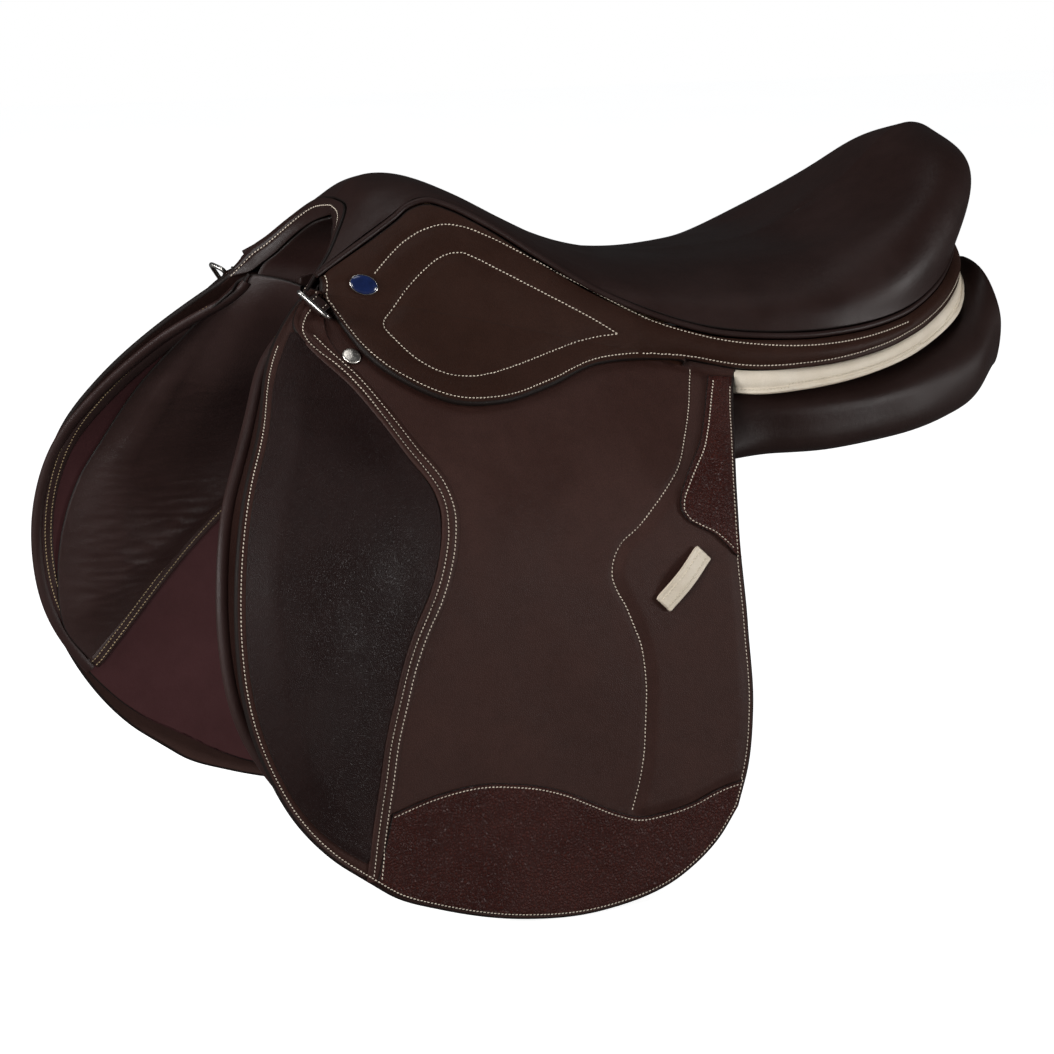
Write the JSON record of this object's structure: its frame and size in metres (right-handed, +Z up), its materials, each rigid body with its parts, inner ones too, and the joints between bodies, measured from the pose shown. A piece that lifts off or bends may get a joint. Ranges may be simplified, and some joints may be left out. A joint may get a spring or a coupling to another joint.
{
  "type": "all-purpose saddle",
  "caption": "English riding saddle with lifting flaps and skirts, padded panel, girth straps, stirrup bars and breastplate dees.",
  "frame": {"origin": "middle plane of the saddle, under the waist of the seat, level with the top of the girth straps' webbing; where the horse's back is", "axes": "+X from pommel to cantle, +Z up, -Y the rider's left side"},
  "size_m": [0.6031, 0.388, 0.4692],
  "materials": {
    "seat_leather": "smooth, satin",
    "skirt_leather": "fine grain, satin",
    "flap_leather": "grained, satin",
    "pad_leather": "fine grain, satin",
    "patch_leather": "pebbled",
    "cream_leather": "smooth",
    "lining_leather": "smooth, soft",
    "foam": "open-cell foam",
    "wood": "laminated",
    "steel": "brushed nickel",
    "webbing": "woven",
    "enamel": "blue enamel"
  },
  "bodies": {
    "saddle": {"tree": "wood", "head_plate": "steel", "seat_webbing": "webbing", "seat_foam": "foam", "seat_cover": "seat_leather", "seat_welt": "seat_leather", "gullet_lining": "lining_leather", "point_plate_left": "steel", "tree_spring_left": "steel", "stirrup_bar_left": "steel", "skirt_left": "skirt_leather", "skirt_button_left": "enamel", "flap_margin_left": "flap_leather", "sweat_flap_left": "lining_leather", "front_pad_left": "lining_leather", "panel_left": "seat_leather", "panel_gusset_left": "cream_leather", "knee_block_left": "foam", "billet_webbing_left": "webbing", "point_plate_right": "steel", "tree_spring_right": "steel", "stirrup_bar_right": "steel", "skirt_right": "skirt_leather", "skirt_button_right": "enamel", "flap_margin_right": "flap_leather", "sweat_flap_right": "lining_leather", "front_pad_right": "lining_leather", "panel_right": "seat_leather", "panel_gusset_right": "cream_leather", "knee_block_right": "foam", "billet_webbing_right": "webbing"},
    "flap_left": {"flap_left": "flap_leather", "knee_pad_left": "pad_leather", "lower_patch_left": "patch_leather", "rear_patch_left": "patch_leather", "keeper_left": "cream_leather", "flap_nail_left": "steel", "dee_chape_left": "seat_leather"},
    "skirt_lobe_left": {"skirt_lobe_left": "skirt_leather"},
    "dee_left": {"dee_left": "steel"},
    "bar_latch_left": {"bar_latch_left": "steel"},
    "billet_front_left": {"billet_front_left": "skirt_leather"},
    "billet_middle_left": {"billet_middle_left": "skirt_leather"},
    "billet_rear_left": {"billet_rear_left": "skirt_leather"},
    "flap_right": {"flap_right": "flap_leather", "knee_pad_right": "pad_leather", "lower_patch_right": "patch_leather", "rear_patch_right": "patch_leather", "keeper_right": "cream_leather", "flap_nail_right": "steel", "dee_chape_right": "seat_leather"},
    "skirt_lobe_right": {"skirt_lobe_right": "skirt_leather"},
    "dee_right": {"dee_right": "steel"},
    "bar_latch_right": {"bar_latch_right": "steel"},
    "billet_front_right": {"billet_front_right": "skirt_leather"},
    "billet_middle_right": {"billet_middle_right": "skirt_leather"},
    "billet_rear_right": {"billet_rear_right": "skirt_leather"}
  },
  "joints": [
    {"name": "flap_left_lift", "type": "hinge", "parent": "saddle", "child": "flap_left", "pos_m": [-0.24587, -0.06866, 0.10133], "axis": [-0.9573, 0.2017, 0.2071], "range_deg": [0, 65]},
    {"name": "skirt_left_lift", "type": "hinge", "parent": "flap_left", "child": "skirt_lobe_left", "pos_m": [-0.24587, -0.06866, 0.10133], "axis": [-0.9573, 0.2017, 0.2071], "range_deg": [0, 50]},
    {"name": "dee_left_swing", "type": "hinge", "parent": "flap_left", "child": "dee_left", "pos_m": [-0.24157, -0.07519, 0.09125], "axis": [-0.5665, 0.5466, 0.6167], "range_deg": [-55, 50]},
    {"name": "bar_latch_left_turn", "type": "hinge", "parent": "saddle", "child": "bar_latch_left", "pos_m": [-0.0834, -0.0732, 0.08858], "axis": [0, -1, 0], "range_deg": [0, 90]},
    {"name": "billet_front_left_swing", "type": "hinge", "parent": "saddle", "child": "billet_front_left", "pos_m": [-0.07803, -0.13468, 0.01375], "axis": [0, 1, 0], "range_deg": [-6, 6]},
    {"name": "billet_middle_left_swing", "type": "hinge", "parent": "saddle", "child": "billet_middle_left", "pos_m": [-0.04502, -0.1345, 0.01373], "axis": [0, 1, 0], "range_deg": [-6, 6]},
    {"name": "billet_rear_left_swing", "type": "hinge", "parent": "saddle", "child": "billet_rear_left", "pos_m": [-0.01201, -0.13437, 0.01373], "axis": [0, 1, 0], "range_deg": [-6, 6]},
    {"name": "flap_right_lift", "type": "hinge", "parent": "saddle", "child": "flap_right", "pos_m": [-0.24587, 0.06866, 0.10133], "axis": [0.9573, 0.2017, -0.2071], "range_deg": [0, 65]},
    {"name": "skirt_right_lift", "type": "hinge", "parent": "flap_right", "child": "skirt_lobe_right", "pos_m": [-0.24587, 0.06866, 0.10133], "axis": [0.9573, 0.2017, -0.2071], "range_deg": [0, 50]},
    {"name": "dee_right_swing", "type": "hinge", "parent": "flap_right", "child": "dee_right", "pos_m": [-0.24157, 0.07519, 0.09125], "axis": [0.5665, 0.5466, -0.6167], "range_deg": [-55, 50]},
    {"name": "bar_latch_right_turn", "type": "hinge", "parent": "saddle", "child": "bar_latch_right", "pos_m": [-0.0834, 0.0732, 0.08858], "axis": [0, -1, 0], "range_deg": [0, 90]},
    {"name": "billet_front_right_swing", "type": "hinge", "parent": "saddle", "child": "billet_front_right", "pos_m": [-0.07803, 0.13468, 0.01375], "axis": [0, 1, 0], "range_deg": [-6, 6]},
    {"name": "billet_middle_right_swing", "type": "hinge", "parent": "saddle", "child": "billet_middle_right", "pos_m": [-0.04502, 0.1345, 0.01373], "axis": [0, 1, 0], "range_deg": [-6, 6]},
    {"name": "billet_rear_right_swing", "type": "hinge", "parent": "saddle", "child": "billet_rear_right", "pos_m": [-0.01201, 0.13437, 0.01373], "axis": [0, 1, 0], "range_deg": [-6, 6]}
  ],
  "couplings": [
    {"joint": "billet_middle_left_swing", "follows": "billet_front_left_swing", "ratio": 1},
    {"joint": "billet_rear_left_swing", "follows": "billet_front_left_swing", "ratio": 1},
    {"joint": "billet_middle_right_swing", "follows": "billet_front_right_swing", "ratio": 1},
    {"joint": "billet_rear_right_swing", "follows": "billet_front_right_swing", "ratio": 1}
  ]
}
